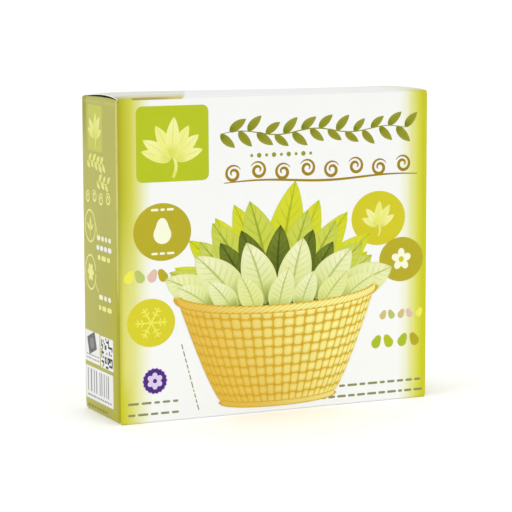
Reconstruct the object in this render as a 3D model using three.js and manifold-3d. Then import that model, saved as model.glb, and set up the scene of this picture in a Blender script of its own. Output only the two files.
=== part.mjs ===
// A shut folding carton for frozen mochi, standing upright. Millimetres, +Z up, the wide front panel faces -Y.
// The carton is one glued blank of coated board, filled by its tray and sweets, so it is one solid.
// Its lid and base are hinged on the front panel, lie over the side panels' dust flaps and tuck in behind.
import * as THREE from "three";
import { mergeVertices } from "three/addons/utils/BufferGeometryUtils.js";
import Module from "manifold-3d";

// Driving dimensions
const cartonWidth = 168;
const cartonDepth = 48;
const cartonHeight = 157; // from the base to the lid's front fold
const board = 0.5; // thickness of the blank

// Folds and panels
const wallFoldRadius = 1.1;
const flapFoldRadius = 0.9;
const wideBow = 0.7; // how far the front and back panels belly out
const narrowBow = 0.35; // the same for the side panels
const wideSteps = 12;
const narrowSteps = 6;
const heightSteps = 12;
const foldSteps = 4;

// Lid and base, which differ only in the lid's lift
const lidInset = 0.6; // the lid's raw ends stop this far short of the side panels
const leftLift = 2.4; // how high the lid would arch at its left end
const rightLift = 0.75; // how high it arches at its right end
const endDip = 0.37; // the share of the arch that the raw left edge is pulled down by
const dipReach = 6; // how soon that pull fades along the lid
const liftSkew = 0.75; // moves the highest point towards the front
const slitReach = 9; // how far the gap runs in from each end
const lidRoot = 3; // the lid block overlaps the walls by this much below its folds
const lidSteps = 12;
const lidCrowding = 1.6; // sets the lid's sections closer together towards its left end
const profileSteps = 16;

// Tuck groove between the lid's back fold and the back panel, and the glued seam
const tuckGap = 0.35;
const tuckDepth = 2.5;
const seamFromCorner = 1.6;
const seamWidth = 0.4;
const seamDepth = 0.35;

// Sizes that follow from those
const halfWidth = cartonWidth / 2;
const halfDepth = cartonDepth / 2;
const straightWidth = halfWidth - wallFoldRadius; // half the flat width of the front and back panels
const topFlapLevel = cartonHeight - board;
const lidBackY = halfDepth - board - tuckGap;
const flatBand = lidRoot + board; // the walls are flat this far from the lid and the base
const spill = 2; // cutters run past the faces that they open

const wasm = await Module();
wasm.setup();

// Between a geometry and a solid that can be cut
function solidFrom(geometry) {
  const bare = geometry.clone();
  bare.deleteAttribute("normal");
  bare.deleteAttribute("uv");
  const merged = mergeVertices(bare, 1e-4);
  return new wasm.Manifold(
    new wasm.Mesh({
      numProp: 3,
      vertProperties: merged.attributes.position.array,
      triVerts: new Uint32Array(merged.index.array),
    }),
  );
}

function geometryFrom(solid) {
  const mesh = solid.getMesh();
  const geometry = new THREE.BufferGeometry();
  geometry.setAttribute("position", new THREE.BufferAttribute(new Float32Array(mesh.vertProperties), 3));
  geometry.setIndex(new THREE.BufferAttribute(new Uint32Array(mesh.triVerts), 1));
  geometry.computeVertexNormals();
  return geometry;
}

// A closed skin through loops of points, all with the same number of points and the same turn.
// `flat` gives a point's two coordinates in the plane of the end loops, for their caps.
function loft(sections, flat) {
  const count = sections[0].length;
  const positions = sections.flat().flatMap((p) => [p.x, p.y, p.z]);
  const faces = [];
  for (let s = 0; s + 1 < sections.length; s++)
    for (let i = 0; i < count; i++) {
      const a = s * count + i;
      const b = s * count + ((i + 1) % count);
      faces.push(a, b, b + count, a, b + count, a + count);
    }
  const last = (sections.length - 1) * count;
  for (const [a, b, c] of THREE.ShapeUtils.triangulateShape(sections[0].map(flat), [])) faces.push(a, c, b);
  for (const [a, b, c] of THREE.ShapeUtils.triangulateShape(sections.at(-1).map(flat), []))
    faces.push(last + a, last + b, last + c);
  const geometry = new THREE.BufferGeometry();
  geometry.setAttribute("position", new THREE.Float32BufferAttribute(positions, 3));
  geometry.setIndex(faces);
  return geometry;
}

function block(lowX, lowY, lowZ, highX, highY, highZ) {
  const geometry = new THREE.BoxGeometry(highX - lowX, highY - lowY, highZ - lowZ);
  return geometry.translate((lowX + highX) / 2, (lowY + highY) / 2, (lowZ + highZ) / 2);
}

// The same shape below as above, with its faces turned outwards again
function upsideDown(geometry) {
  const turned = geometry.clone().scale(1, 1, -1).translate(0, 0, cartonHeight);
  const corners = turned.index.array;
  for (let i = 0; i < corners.length; i += 3) [corners[i], corners[i + 1]] = [corners[i + 1], corners[i]];
  return turned;
}

// 0 at both ends of a panel and 1 in its middle
const belly = (share) => Math.sin(Math.PI * THREE.MathUtils.clamp(share, 0, 1)) ** 1.5;

// One level of the four walls, anticlockwise from the front left corner.
// `inset` draws the loop in for the fold of a dust flap.
function wallLoop(z, inset) {
  const up = belly((z - flatBand) / (cartonHeight - 2 * flatBand));
  const points = [];
  const panels = [
    { steps: wideSteps, half: halfWidth, out: halfDepth, bow: wideBow },
    { steps: narrowSteps, half: halfDepth, out: halfWidth, bow: narrowBow },
    { steps: wideSteps, half: halfWidth, out: halfDepth, bow: wideBow },
    { steps: narrowSteps, half: halfDepth, out: halfWidth, bow: narrowBow },
  ];
  panels.forEach(({ steps, half, out, bow }, side) => {
    const turn = (side * Math.PI) / 2;
    const place = (along, outwards) =>
      points.push(
        new THREE.Vector3(
          along * Math.cos(turn) + outwards * Math.sin(turn),
          along * Math.sin(turn) - outwards * Math.cos(turn),
          z,
        ),
      );
    const straight = half - wallFoldRadius;
    for (let i = 0; i <= steps; i++) {
      const share = i / steps;
      place((share * 2 - 1) * straight, out - inset + bow * belly(share) * up);
    }
    for (let i = 1; i < foldSteps; i++) {
      const angle = ((i / foldSteps) * Math.PI) / 2;
      const radius = wallFoldRadius - inset;
      place(straight + radius * Math.sin(angle), out - wallFoldRadius + radius * Math.cos(angle));
    }
  });
  return points;
}

// The four glued walls with the side panels' dust flaps folded in at the top and the bottom
function walls() {
  const levels = []; // height above the flat flap, and how far the fold is drawn in there
  for (let i = 0; i < foldSteps; i++) {
    const angle = ((i / foldSteps) * Math.PI) / 2;
    levels.push([flapFoldRadius * (1 - Math.cos(angle)), flapFoldRadius * (1 - Math.sin(angle))]);
  }
  const bottom = levels.map(([rise, inset]) => [board + rise, inset]);
  const middle = [[board + flapFoldRadius, 0]];
  for (let i = 0; i <= heightSteps; i++)
    middle.push([flatBand + ((cartonHeight - 2 * flatBand) * i) / heightSteps, 0]);
  middle.push([topFlapLevel - flapFoldRadius, 0]);
  const top = levels.map(([rise, inset]) => [topFlapLevel - rise, inset]).reverse();
  const rings = [...bottom, ...middle, ...top].map(([z, inset]) => wallLoop(z, inset));
  return loft(rings, (p) => new THREE.Vector2(p.x, p.y));
}

// How far the lid stands off the dust flaps, at a place along the width and a share of the lid from its front
function liftAt(x, share) {
  if (share <= 0 || share >= 1) return 0;
  const along = x + halfWidth;
  const arch = leftLift + ((rightLift - leftLift) * along) / cartonWidth;
  return arch * (1 - endDip * Math.exp(-along / dipReach)) * Math.sin(Math.PI * share ** liftSkew);
}

// The lid's front edge, which follows the round upright folds at its ends
function lidFrontY(x) {
  const past = Math.max(Math.abs(x) - straightWidth, 0);
  return -(halfDepth - wallFoldRadius + Math.sqrt(wallFoldRadius ** 2 - past ** 2));
}

// The outline of the lid from front to back at one place along the width, closed below by its root
function lidProfile(x, lift) {
  const points = [];
  const add = (y, z) => points.push(new THREE.Vector3(x, y, z));
  const flatFrom = lidFrontY(x) + flapFoldRadius;
  const flatTo = lidBackY - flapFoldRadius;
  add(lidFrontY(x), topFlapLevel - lidRoot);
  for (let i = 0; i < foldSteps; i++) {
    const angle = ((i / foldSteps) * Math.PI) / 2;
    add(flatFrom - flapFoldRadius * Math.cos(angle), cartonHeight - flapFoldRadius * (1 - Math.sin(angle)));
  }
  for (let i = 0; i <= profileSteps; i++) {
    const share = i / profileSteps;
    add(flatFrom + (flatTo - flatFrom) * share, cartonHeight + lift(x, share));
  }
  for (let i = 1; i <= foldSteps; i++) {
    const angle = ((i / foldSteps) * Math.PI) / 2;
    add(flatTo + flapFoldRadius * Math.sin(angle), cartonHeight - flapFoldRadius * (1 - Math.cos(angle)));
  }
  add(lidBackY, topFlapLevel - lidRoot);
  return points.reverse();
}

function lidBlock(lift) {
  const reach = halfWidth - lidInset;
  const stations = [-reach];
  for (let i = 0; i <= lidSteps; i++) stations.push(straightWidth * (2 * (i / lidSteps) ** lidCrowding - 1));
  stations.push(reach);
  return loft(
    stations.map((x) => lidProfile(x, lift)),
    (p) => new THREE.Vector2(p.y, p.z),
  );
}

// The lens of air between the lid's raw end and the dust flap below it, on the left (-1) or the right (1)
function lidSlit(side) {
  const flatFrom = -halfDepth + flapFoldRadius;
  const flatTo = lidBackY - flapFoldRadius;
  const shares = [];
  for (let i = 0; i <= profileSteps; i++) shares.push(i / profileSteps);
  const lens = (x) => {
    const depthAt = (share) => flatFrom + (flatTo - flatFrom) * share;
    const place = (share, rise) => new THREE.Vector3(x, depthAt(share), topFlapLevel + rise);
    const below = shares.map((share) => place(share, 0));
    const above = shares.slice(1, -1).map((share) => place(share, liftAt(side * halfWidth, share)));
    return [...below, ...above.reverse()];
  };
  const outer = lens(side * (halfWidth + spill));
  const inner = lens(side * (halfWidth - slitReach));
  return loft(side < 0 ? [outer, inner] : [inner, outer], (p) => new THREE.Vector2(p.y, p.z));
}

// The raw top edge of the back panel, which stands behind the lid's back fold
function backPanelEdge() {
  const low = topFlapLevel - lidRoot;
  return block(-straightWidth, halfDepth - board, low, straightWidth, halfDepth, cartonHeight - board / 2);
}

// The groove where the lid tucks in behind the back panel
function tuckGroove() {
  const low = topFlapLevel - tuckDepth;
  return block(-straightWidth, lidBackY, low, straightWidth, halfDepth - board, cartonHeight + spill);
}

// The raw upright edge of the back panel, glued over the flap of the right side panel
function gluedSeam() {
  const x = halfWidth - seamFromCorner;
  return block(x - seamWidth, halfDepth - seamDepth, -spill, x, halfDepth + spill, cartonHeight + spill);
}

const flatLift = () => 0;
const joined = [lidBlock(liftAt), backPanelEdge(), ...[lidBlock(flatLift), backPanelEdge()].map(upsideDown)];
const cut = [lidSlit(-1), lidSlit(1), tuckGroove(), upsideDown(tuckGroove()), gluedSeam()];
let carton = solidFrom(walls());
for (const piece of joined) carton = carton.add(solidFrom(piece));
for (const gap of cut) carton = carton.subtract(solidFrom(gap));

const printedBoard = new THREE.MeshStandardMaterial({ color: 0xdfe3a0, roughness: 0.42, metalness: 0 });

const part = new THREE.Group();
const cartonMesh = new THREE.Mesh(geometryFrom(carton), printedBoard);
cartonMesh.name = "carton";
part.add(cartonMesh);

export default part;
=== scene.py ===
# A shut folding carton for a frozen dessert: the folded board, and the inks printed on it.
from functools import partialmethod
from math import asin, ceil, cos, degrees, exp, hypot, pi, radians, sin
from types import SimpleNamespace

import bmesh
import bpy
from mathutils import Matrix, Vector


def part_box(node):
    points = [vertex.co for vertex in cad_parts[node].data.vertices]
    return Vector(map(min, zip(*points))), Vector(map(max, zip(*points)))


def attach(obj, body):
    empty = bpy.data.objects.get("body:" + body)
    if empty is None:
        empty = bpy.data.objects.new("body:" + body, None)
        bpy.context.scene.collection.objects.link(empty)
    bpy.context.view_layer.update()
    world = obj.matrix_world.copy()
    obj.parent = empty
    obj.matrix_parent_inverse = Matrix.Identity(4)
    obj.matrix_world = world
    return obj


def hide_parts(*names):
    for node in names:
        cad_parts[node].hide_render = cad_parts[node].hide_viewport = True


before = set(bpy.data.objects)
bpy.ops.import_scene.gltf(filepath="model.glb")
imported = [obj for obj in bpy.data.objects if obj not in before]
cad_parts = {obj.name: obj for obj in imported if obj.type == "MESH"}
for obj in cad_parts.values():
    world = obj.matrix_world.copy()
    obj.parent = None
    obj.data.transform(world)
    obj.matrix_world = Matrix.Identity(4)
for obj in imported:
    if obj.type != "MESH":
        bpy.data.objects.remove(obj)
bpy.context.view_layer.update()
mm = 0.001
scene = bpy.context.scene

# The board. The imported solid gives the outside, and these sizes the rest.
carton = {
    "wideBow": 0.7 * mm,  # how far the front and back panels belly out
    "narrowBow": 0.35 * mm,  # the same for the side panels
    "thickness": 0.5 * mm,
    "wallFold": 1.1 * mm,  # radius of the upright folds
    "flapFold": 0.9 * mm,  # radius of the folds at the lid and the base
    "flatBand": 3.5 * mm,  # the panels are flat this far from the lid and the base
    "lidCrest": 2.174 * mm,  # what the arched lid adds to the height
    "leftLift": 2.4 * mm,  # how high the lid would arch at its left end
    "rightLift": 0.75 * mm,  # how high it arches at its right end
    "endDip": 0.37,  # the share of the arch that the raw left edge is pulled down by
    "dipReach": 6 * mm,
    "liftSkew": 0.75,
    "lidInset": 0.6 * mm,  # the lid's raw ends stop this far short of the side panels
    "tuckGap": 0.35 * mm,
    "tuckLength": 15 * mm,
    "dustFlap": 22 * mm,
    "dustDrop": 0.05 * mm,  # the dust flaps lie this far under the lid
    "dustShare": 0.42,  # the share of the lid's arch that they follow
    "dustTaper": 0.16,  # the share by which they narrow towards their ends
    "tuckTaper": 0.05,
    "tuckLean": 0.02,  # how far the tuck leans in for each unit down
    "lidSteps": 28,
    "glueFlap": 13 * mm,
    "seamInset": 1.6 * mm,
    "seamGap": 0.4 * mm,
    "cellSize": 5 * mm,
    "crush": Vector((0.45, -0.45, 0.27)) * mm,  # how the worn lower back corner is pushed in
    "crushReach": 5 * mm,
    "weld": 0.01 * mm,
    "sharpAngle": 40,
}
thickness, wallFold = carton["thickness"], carton["wallFold"]
flapFold, cellSize = carton["flapFold"], carton["cellSize"]
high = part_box("carton")[1]
halfWidth = high.x - carton["narrowBow"]
halfDepth = high.y - carton["wideBow"]
tallness = high.z - carton["lidCrest"]
width, depth = 2 * halfWidth, 2 * halfDepth
lidBack = halfDepth - thickness - carton["tuckGap"]


def facing(corner, right, up, wide, tall):
    return {"corner": Vector(corner), "right": Vector(right), "up": Vector(up), "size": (wide, tall)}


# Each printed panel as seen from outside: u runs right and v runs up from its lower left corner
panels = {
    "front": facing((-halfWidth, -halfDepth, 0), (1, 0, 0), (0, 0, 1), width, tallness),
    "back": facing((halfWidth, halfDepth, 0), (-1, 0, 0), (0, 0, 1), width, tallness),
    "left": facing((-halfWidth, halfDepth, 0), (0, -1, 0), (0, 0, 1), depth, tallness),
    "right": facing((halfWidth, -halfDepth, 0), (0, 1, 0), (0, 0, 1), depth, tallness),
    "top": facing((-halfWidth, -halfDepth, tallness), (1, 0, 0), (0, 1, 0), width, depth),
}


def belly(share):  # 0 at both ends of a panel and 1 in its middle
    return sin(pi * min(max(share, 0), 1)) ** 1.5


def liftAt(x, share):  # how far the lid stands off the dust flaps
    if not 0 < share < 1:
        return 0
    along = x + halfWidth
    arch = between(carton["leftLift"], carton["rightLift"], along / width)
    dip = 1 - carton["endDip"] * exp(-along / carton["dipReach"])
    return arch * dip * sin(pi * share ** carton["liftSkew"])


def bulge(name, u, v):  # how far a panel's face stands off its flat plane
    if name == "top":
        return liftAt(u - halfWidth, (v - flapFold) / (lidBack + halfDepth - 2 * flapFold))
    bow = carton["wideBow"] if name in ("front", "back") else carton["narrowBow"]
    band = carton["flatBand"]
    wide, tall = panels[name]["size"]
    return bow * belly((u - wallFold) / (wide - 2 * wallFold)) * belly((v - band) / (tall - 2 * band))


def panelPoint(name, u, v, rise=0.0):
    panel = panels[name]
    right, up = panel["right"], panel["up"]
    return panel["corner"] + right * u + up * v + right.cross(up) * (bulge(name, u, v) + rise)


def between(first, last, share):
    return first + (last - first) * share


def shares(count):  # from 0 to 1
    return [i / count for i in range(count + 1)]


def stations(start, end, step):
    return [between(start, end, share) for share in shares(max(1, round(abs(end - start) / step)))]


# Node helpers, for shaders and Geometry Nodes alike. They add to the tree that was started last.
current = {}


class Term:  # a socket that can be reckoned with
    def __init__(self, socket):
        self.socket = socket

    def calc(self, operation, *others):
        return make("ShaderNodeMath", {"operation": operation}, dict(enumerate((self, *others))))

    def __rsub__(self, other):
        return self.calc("MULTIPLY_ADD", -1.0, other)

    def ease(self, low, high, least=0.0, most=1.0):  # a smooth step
        return make("ShaderNodeMapRange", {"interpolation_type": "SMOOTHSTEP"}, {
            "Value": self, "From Min": low, "From Max": high, "To Min": least, "To Max": most})


for method, operation in {"add": "ADD", "sub": "SUBTRACT", "mul": "MULTIPLY", "truediv": "DIVIDE",
                          "pow": "POWER", "mod": "MODULO", "abs": "ABSOLUTE"}.items():
    setattr(Term, "__" + method + "__", partialmethod(Term.calc, operation))


def plug(socket, value):
    if isinstance(value, Term):
        current["tree"].links.new(value.socket, socket)
    else:
        socket.default_value = value


def addNode(kind, settings=None, inputs=None):
    made = current["tree"].nodes.new(kind)
    for key, value in (settings or {}).items():
        setattr(made, key, value)
    for key, value in (inputs or {}).items():
        plug(made.inputs[key], value)
    return made


def make(kind, settings=None, inputs=None, output=0):
    return Term(addNode(kind, settings, inputs).outputs[output])


def separate(vector):
    made = addNode("ShaderNodeSeparateXYZ", inputs={"Vector": vector})
    return [Term(socket) for socket in made.outputs]


def termsOf(node):
    return SimpleNamespace(**{socket.name: Term(socket) for socket in node.outputs if socket.name})


socketKinds = {int: "Int", float: "Float", tuple: "Color", type(None): "Material"}


def startTree(name, kind, outputs, inputs):  # inputs and outputs map each name to a value
    tree = current["tree"] = bpy.data.node_groups.new(name, kind)
    for way, values in (("OUTPUT", outputs), ("INPUT", inputs)):
        for key, value in values.items():
            made = "Geometry" if key == "Geometry" else socketKinds[type(value)]
            socket = tree.interface.new_socket(key, in_out=way, socket_type="NodeSocket" + made)
            if value is not None:
                socket.default_value = value
    return termsOf(tree.nodes.new("NodeGroupInput"))


def endTree(outputs):
    addNode("NodeGroupOutput", inputs=outputs)
    return current["tree"]


def ink(red, green, blue):  # a printed colour as it looks under white light, from 0 to 255
    def linear(c):
        c /= 255
        return c / 12.92 if c <= 0.04045 else ((c + 0.055) / 1.055) ** 2.4
    return (*(max(0, linear(c) - studio["sheen"]) * studio["paperShare"] for c in (red, green, blue)), 1)


studio = {
    "paperShare": 0.752,  # what white board gives back of the light
    "sheen": 0.008,  # what the gloss adds
    "worldLight": 1.04,
    "floorSize": 14,
    "floorPaint": {"Base Color": (1, 1, 1, 1), "Roughness": 0.7, "Specular IOR Level": 0.2},
    "aim": Vector((0, 0, 0.08)),
    "softboxes": {  # place, size and power of each
        "keyLight": ((0.9, -2.0, 0.6), 1.4, 13),
        "fillLight": ((-2.2, -0.6, 0.9), 1.3, 9),
    },
}


# Shader groups that the finishes share
def objectPlace():
    return make("ShaderNodeTexCoord", output="Object")


def noiseAt(name, detail=2.0, stretch=None):
    place = objectPlace()
    if stretch:
        place = make("ShaderNodeMapping", inputs={"Vector": place, "Scale": stretch})
    return make("ShaderNodeTexNoise", inputs={"Vector": place, "Scale": noiseScales[name], "Detail": detail})


noiseScales = {  # for each metre
    "tooth": 1900, "swell": 90, "gloss": 260, "speckle": 1500, "cloud": 60, "ragged": 1100, "patch": 130,
    "pulp": 700}
coating = {"specular": 0.1, "bump": 0.35, "toothDepth": 0.02 * mm}


def brightened(colour, value):
    return make("ShaderNodeHueSaturation", inputs={"Color": colour, "Value": value})


def useGroup(group, **inputs):
    return termsOf(addNode("ShaderNodeGroup", {"node_tree": group}, inputs))


def buildBoardGrain():  # the fine tooth of coated board, and the long swells under the coating
    entry = startTree("boardGrain", "ShaderNodeTree", {"height": 0.0, "gloss": 0.0}, {"tooth": 1.0})
    height = noiseAt("tooth", 3) * entry.tooth + noiseAt("swell", 2, (1, 1, 0.35)) * 2.2
    return endTree({"height": height, "gloss": noiseAt("gloss") * 0.16 + 0.36})


def buildInkLay():  # ink lies a little unevenly on board
    entry = startTree("inkLay", "ShaderNodeTree", {"colour": (1, 1, 1, 1)},
                      {"colour": (1, 1, 1, 1), "mottle": 0.0, "tone": 1.0})
    uneven = (noiseAt("speckle", 1) - 0.5) * 0.6 + (noiseAt("cloud", 3) - 0.5)
    return endTree({"colour": brightened(entry.colour, uneven * entry.mottle + entry.tone)})


def buildFoldWearAndHighlight():  # ink that is rubbed along a line, which beside the side panel's front fold is also a painted highlight; the distance is measured from that line
    entry = startTree("foldWearAndHighlight", "ShaderNodeTree", {"mask": 0.0},
                      {"distance": 0.0, "width": 1.0, "amount": 1.0})
    ragged = (noiseAt("ragged", 3) - 0.5) * 0.5
    near = (entry.distance / entry.width + ragged).ease(0.35, 1.0, 1.0, 0.0)
    return endTree({"mask": near * noiseAt("patch").ease(0.3, 0.6, 0.55, 1.0) * entry.amount})


boardGrain, inkLay, foldWearAndHighlight = buildBoardGrain(), buildInkLay(), buildFoldWearAndHighlight()


def newMaterial(name):
    material = bpy.data.materials.new(name)
    material.use_nodes = True
    return material, material.node_tree.nodes["Principled BSDF"].inputs


def startFinish(name, tooth=1.0):
    material, shader = newMaterial(name)
    current.update(tree=material.node_tree, material=material, shader=shader)
    plug(shader["Specular IOR Level"], coating["specular"])
    grain = useGroup(boardGrain, tooth=tooth)
    plug(shader["Normal"], make("ShaderNodeBump", inputs={
        "Height": grain.height, "Strength": coating["bump"], "Distance": coating["toothDepth"]}))
    plug(shader["Roughness"], grain.gloss)


def endFinish(colour):
    plug(current["shader"]["Base Color"], colour)
    return current["material"]


def endPrint(colour, mottle, tone=1.0):
    return endFinish(useGroup(inkLay, colour=colour, mottle=mottle, tone=tone).colour)


def rampOf(factor, stops):
    ramp = addNode("ShaderNodeValToRGB", inputs={"Fac": factor})
    elements = ramp.color_ramp.elements
    elements[0].position, elements[0].color = stops[0]
    elements[1].position, elements[1].color = stops[-1]
    for place, colour in stops[1:-1]:
        elements.new(place).color = colour
    return Term(ramp.outputs[0])


def mixColour(factor, first, second):
    return make("ShaderNodeMix", {"data_type": "RGBA"}, {0: factor, 6: first, 7: second}, 2)


# The printed board itself
paper = {name: ink(*tint) for name, tint in {
    "white": (249, 250, 247), "rubbedAndHighlight": (218, 214, 131), "khaki": (193, 191, 99),
    "khakiShade": (186, 183, 81), "khakiDeep": (190, 186, 62), "khakiHead": (190, 189, 100),
    "khakiBack": (165, 163, 56), "oliveShade": (179, 174, 34), "olive": (172, 167, 44),
    "oliveLime": (190, 189, 48), "limeEdge": (206, 205, 40), "limeRise": (211, 212, 63),
    "limeMiddle": (220, 220, 90), "lime": (212, 211, 76), "paleLime": (223, 220, 114),
    "softLime": (228, 228, 132), "faintLime": (230, 230, 152), "palest": (240, 242, 206),
    "lidWhite": (252, 253, 250), "lidPatch": (235, 237, 229), "lidTint": (236, 238, 205),
    "lidGold": (224, 207, 104)}.items()}
printing = {
    "fadeReach": 18 * mm,
    "paintedHeadShade": 0.965,  # painted light and shade: the wide panels are a little darker at the head than at the foot
    "paintedFootLight": 1.022,
    "cornerShade": 0.05,  # painted shade: the right-hand band is darker near its head
    # painted shade: the lid darkens towards its back
    "lidBackPaintedShade": 0.88,
    "crestShade": 0.04,  # painted shade: the lid's high left part is darker up to its crest
    "leftBleed": 11 * mm,  # how far the bands run on over the lid
    "rightBleed": 14 * mm,
    "patchEnd": 34 * mm,  # the lid's left end has a grey patch up to here
    "patchLean": 0.46,  # its end slants away from the front edge
    "rubAndHighlightLine": 1.5 * mm,  # a pale line beside the front folds: rubbed ink and a painted highlight on the fold
    "rubAndHighlightWidth": 1.35 * mm,
    "headRub": 2.6 * mm,
    "wearWidth": 0.4 * mm,
    "backBand": 6.6 * mm,
}
foldStrip = {
    "start": 8 * mm,
    "end": 33.8 * mm,
    "under": 0.6 * mm,  # how far it comes down the front
    "over": 2.2 * mm,  # how far it runs on over the lid
    "soft": 0.2 * mm,
    "inks": [(0.0, ink(168, 160, 76)), (0.2, ink(178, 166, 84)), (0.45, ink(186, 162, 90)),
             (0.68, ink(200, 176, 108)), (0.8, ink(208, 198, 118)), (1.0, ink(212, 204, 124))],
}


def paperRamp(factor, *stops):
    return rampOf(factor, [(place, paper[key]) for place, key in stops])


def startPrint(name):  # gives the place, and the place again in shares of the carton's half sizes and height
    startFinish(name)
    x, y, z = separate(objectPlace())
    return x, y, z, x / halfWidth, y / halfDepth, z / tallness


def addWearAndHighlight(colour, distance, wide, amount):
    mask = useGroup(foldWearAndHighlight, distance=distance, width=wide, amount=amount).mask
    return mixColour(mask, colour, paper["rubbedAndHighlight"])


def addFoldStrip(colour, x, y, z):  # a brown strip over the lid's front fold, near its left end
    start, end, under, over, soft, tints = foldStrip.values()
    u = x + halfWidth
    mask = u.ease(start - 3 * soft, start + 3 * soft) * u.ease(end + soft, end - soft)
    for reach, limit in ((tallness - z, under), (y + halfDepth, over)):
        mask = mask * reach.ease(limit + soft, limit - soft)
    return mixColour(mask, colour, rampOf((u - start) / (end - start), tints))


def widePrint():  # white, with lime bands that fade in from the upright folds
    x, y, z, aside, back, up = startPrint("widePrint")
    inwards = abs(x) * -1.0 + halfWidth
    share = inwards / printing["fadeReach"]
    head = paperRamp(share, (0.0, "olive"), (0.12, "oliveLime"), (0.37, "lime"), (0.6, "faintLime"),
                     (0.76, "palest"), (0.97, "white"))
    foot = paperRamp(share, (0.0, "oliveLime"), (0.13, "paleLime"), (0.45, "faintLime"), (0.68, "palest"),
                     (0.94, "white"))
    right = paperRamp(share, (0.0, "limeEdge"), (0.14, "limeEdge"), (0.22, "limeRise"), (0.33, "limeMiddle"),
                      (0.43, "softLime"), (0.51, "faintLime"), (0.65, "palest"), (0.92, "white"))
    lowest = paperRamp(share, (0.0, "oliveLime"), (0.05, "limeEdge"), (0.17, "lime"), (0.33, "paleLime"),
                       (0.45, "faintLime"), (0.68, "palest"), (0.94, "white"))
    left = mixColour(up.ease(0.75, 0.3), head, foot)
    left = mixColour(up.ease(0.18, 0.06), left, lowest)
    colour = mixColour(x.calc("GREATER_THAN", 0.0), left, right)
    colour = addWearAndHighlight(colour, inwards, printing["wearWidth"], 0.15)
    # painted shade and light: darker near the right band's head, darker at the panels' head and lighter at
    # their foot
    corner = up.ease(0.88, 1.0) * aside.ease(0.85, 0.95)
    tone = up.ease(0.0, 1.0, printing["paintedFootLight"], printing["paintedHeadShade"]) - corner * printing["cornerShade"]
    return endPrint(addFoldStrip(colour, x, y, z), 0.025, tone)


def sidePrint():  # khaki, deeper towards the front folds, with a pale line beside them that is rubbed ink and a painted highlight
    x, y, z, aside, back, up = startPrint("sidePrint")
    inwards = y + halfDepth
    colour = paperRamp(inwards / depth, (0.0, "olive"), (0.045, "oliveShade"), (0.1, "khakiDeep"),
                       (0.3, "khakiShade"), (1.0, "khaki"))
    colour = mixColour(up.ease(0.35, 0.7, 0.0, 0.8), colour, paper["khakiHead"])
    band = y.ease(halfDepth - printing["backBand"], halfDepth - 0.8 * printing["backBand"])
    colour = mixColour(band * up.ease(0.8, 0.97), colour, paper["khakiBack"])
    # painted highlight and rubbed ink: a pale line beside the front fold, fading out towards the foot
    colour = addWearAndHighlight(colour, abs(inwards - printing["rubAndHighlightLine"]), printing["rubAndHighlightWidth"], up.ease(0.3, 0.5))
    colour = addWearAndHighlight(colour, abs(z - (tallness - printing["headRub"])), 0.7 * printing["rubAndHighlightWidth"], 0.28)
    return endPrint(colour, 0.06)


def lidPrint():  # a greyer white; the bands of the front run on over its front edge
    x, y, z, aside, back, up = startPrint("lidPrint")
    inwards = y + halfDepth
    across = (x - inwards * aside.ease(-0.2, -0.4, 0.0, printing["patchLean"]) + halfWidth) / width
    patchEnd = printing["patchEnd"] / width
    plain = paperRamp(across, (0.0, "lidPatch"), (patchEnd, "lidPatch"), (patchEnd + 0.005, "lidWhite"),
                      (0.88, "lidWhite"), (1.0, "lidTint"))
    banded = paperRamp(across, (0.0, "olive"), (0.02, "oliveLime"), (0.04, "lime"), (0.08, "lidGold"),
                       (patchEnd, "lidGold"), (patchEnd + 0.005, "lidWhite"), (0.89, "lidWhite"),
                       (0.93, "palest"), (0.955, "paleLime"), (0.975, "limeRise"), (1.0, "limeEdge"))
    reach = aside.ease(-1.0, 1.0, printing["leftBleed"], printing["rightBleed"])
    bleed = ((inwards + 2 * mm) / reach).ease(0.0, 1.15, 1.0, 0.0)
    colour = addFoldStrip(mixColour(bleed, plain, banded), x, y, z)
    # painted shade: darker towards the lid's back, and on its high left part up to the crest
    crest = back.ease(-0.5, -0.2) * aside.ease(0.2, -0.4)
    tone = back.ease(-0.2, 1.0, 1.0, printing["lidBackPaintedShade"]) - crest * printing["crestShade"]
    return endPrint(colour, 0.03, tone)


def rawBoard(name, colour, mottle):  # uncoated pulp, at cut edges and inside
    startFinish(name, tooth=3.0)
    tone = (noiseAt("pulp", 3, (1, 1, 5)) - 0.5) * mottle + 1.0
    return endFinish(brightened(colour, tone))


# Folding the blank
def foldPoint(sideX, sideY, start, angle):  # on an upright fold, with its corner's sides as -1 or 1
    turn = radians(start + angle)
    return Vector((sideX * (halfWidth - wallFold) + wallFold * cos(turn),
                   sideY * (halfDepth - wallFold) + wallFold * sin(turn), 0))


lidAngle = degrees(asin(1 - carton["lidInset"] / wallFold))
foldAngles = [0, 0.5 * lidAngle, lidAngle, 45, 90 - lidAngle, 90 - 0.5 * lidAngle, 90]
flapAngles = stations(0, pi / 2, pi / 12)


def wallRow(z):  # one level of the sleeve, from the back panel's raw edge round to the glue flap
    seam, gap = carton["seamInset"], carton["seamGap"]
    points, slots = [], []
    for name, slot, corner in (("back", 0, (-1, 1, 90)), ("left", 1, (-1, -1, 180)),
                               ("front", 0, (1, -1, 270)), ("right", 1, (1, 1, 0))):
        start = seam + gap if name == "back" else wallFold
        straight = stations(start, panels[name]["size"][0] - wallFold, cellSize)
        points += [panelPoint(name, u, z) for u in straight]
        points += [foldPoint(*corner, angle) + Vector((0, 0, z)) for angle in foldAngles[1:-1]]
        slots += [slot] * len(straight) + [slot if angle < 45 else 1 - slot for angle in foldAngles[1:-1]]
    sunk = halfDepth - thickness - carton["dustDrop"]
    points += [Vector((halfWidth - inset, y, z)) for inset, y in (
        (wallFold, halfDepth), (seam, halfDepth), (seam + gap, sunk), (carton["glueFlap"], sunk))]
    return points, slots + [0, 0, 3, 3]


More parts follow.
